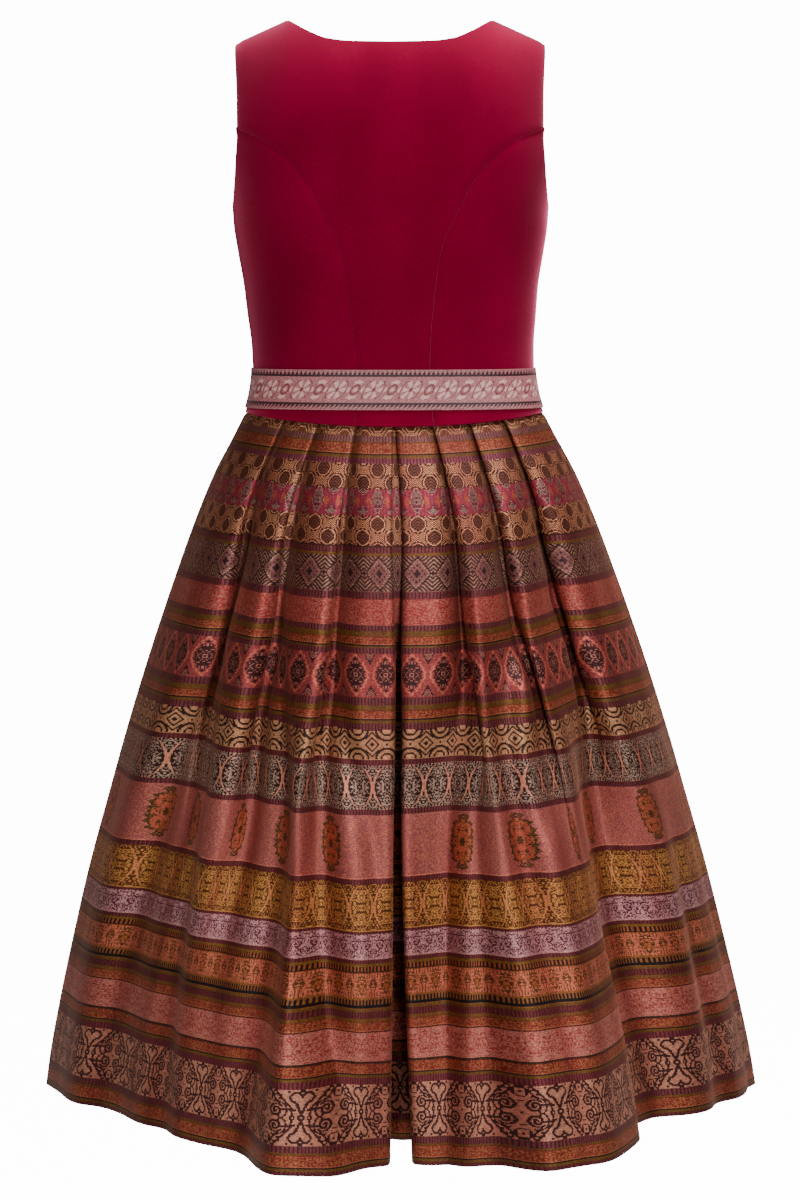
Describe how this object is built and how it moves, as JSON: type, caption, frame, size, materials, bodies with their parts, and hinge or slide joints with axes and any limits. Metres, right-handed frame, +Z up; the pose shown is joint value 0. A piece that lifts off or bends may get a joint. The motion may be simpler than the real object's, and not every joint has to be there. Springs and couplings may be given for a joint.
{
  "type": "dirndl",
  "caption": "sleeveless midi dirndl in its worn, hollow shape: velvet bodice with princess seams, ribbon belt and a banded pleated skirt",
  "frame": {"origin": "midway between the two neck points of the shoulder seams, where the wearer's shoulders carry the dress", "axes": "+Z up, the back faces -Y, the front faces +Y, +X is the wearer's right"},
  "size_m": [0.7134, 0.6627, 1.074],
  "materials": {
    "velvet": "crimson cotton velvet with a short nap",
    "ribbon": "dusty pink jacquard ribbon with dark zigzag edges",
    "skirt_jacquard": "woven in crosswise bands of rust, coral, mustard, plum and cream"
  },
  "bodies": {
    "root": {"bodice_back": "velvet", "bodice_side_back_left": "velvet", "bodice_side_back_right": "velvet", "bodice_side_front_left": "velvet", "bodice_side_front_right": "velvet", "bodice_front_left": "velvet", "bodice_front_right": "velvet", "belt_ribbon": "ribbon", "skirt_back": "skirt_jacquard", "skirt_front": "skirt_jacquard"}
  },
  "joints": []
}
